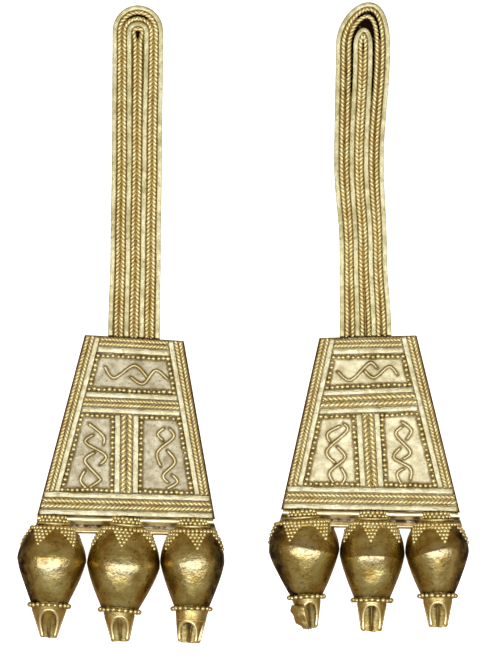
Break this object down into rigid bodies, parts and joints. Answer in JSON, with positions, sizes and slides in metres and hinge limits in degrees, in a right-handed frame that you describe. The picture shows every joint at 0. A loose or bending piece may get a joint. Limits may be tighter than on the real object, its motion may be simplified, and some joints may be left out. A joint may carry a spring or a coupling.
{
  "type": "pair of gold earrings",
  "caption": "Pair of ancient gold ear pendants, each a flat wire strap above a tapering filigree plate and a row of hollow fruits with notched crowns, lying face up.",
  "frame": {"origin": "middle of the bounding box's underside, on the surface the pair lies on", "axes": "+Y up the straps, away from the fruits; +Z out of the decorated faces; +X to the viewer's right"},
  "size_m": [0.0722, 0.1028, 0.0106],
  "materials": {
    "sheet": "worn pale gold sheet",
    "wire": "worn pale gold wire",
    "fruit": "burnished deep gold sheet, slightly dented"
  },
  "bodies": {
    "root": {"left_bottom_braid": "wire", "left_bottom_lower_strip": "sheet", "left_bottom_upper_strip": "sheet", "left_left_crown": "fruit", "left_left_fruit": "fruit", "left_left_side_braid": "wire", "left_left_side_strip": "sheet", "left_middle_braid": "wire", "left_middle_crown": "fruit", "left_middle_fruit": "fruit", "left_middle_lower_strip": "sheet", "left_middle_upper_strip": "sheet", "left_plate": "sheet", "left_post_braid": "wire", "left_post_left_strip": "sheet", "left_post_right_strip": "sheet", "left_right_crown": "fruit", "left_right_fruit": "fruit", "left_right_side_braid": "wire", "left_right_side_strip": "sheet", "left_strap_backing": "sheet", "left_strap_core_wire": "wire", "left_strap_inner_rail": "sheet", "left_strap_inner_wire": "wire", "left_strap_outer_rail": "sheet", "left_strap_outer_wire": "wire", "left_top_braid": "wire", "left_top_strip": "sheet", "right_bottom_braid": "wire", "right_bottom_lower_strip": "sheet", "right_bottom_upper_strip": "sheet", "right_left_crown": "fruit", "right_left_fruit": "fruit", "right_left_side_braid": "wire", "right_left_side_strip": "sheet", "right_middle_braid": "wire", "right_middle_crown": "fruit", "right_middle_fruit": "fruit", "right_middle_lower_strip": "sheet", "right_middle_upper_strip": "sheet", "right_plate": "sheet", "right_post_braid": "wire", "right_post_left_strip": "sheet", "right_post_right_strip": "sheet", "right_right_crown": "fruit", "right_right_fruit": "fruit", "right_right_side_braid": "wire", "right_right_side_strip": "sheet", "right_strap_backing": "sheet", "right_strap_core_wire": "wire", "right_strap_inner_rail": "sheet", "right_strap_inner_wire": "wire", "right_strap_outer_rail": "sheet", "right_strap_outer_wire": "wire", "right_top_braid": "wire", "right_top_strip": "sheet"}
  },
  "joints": []
}
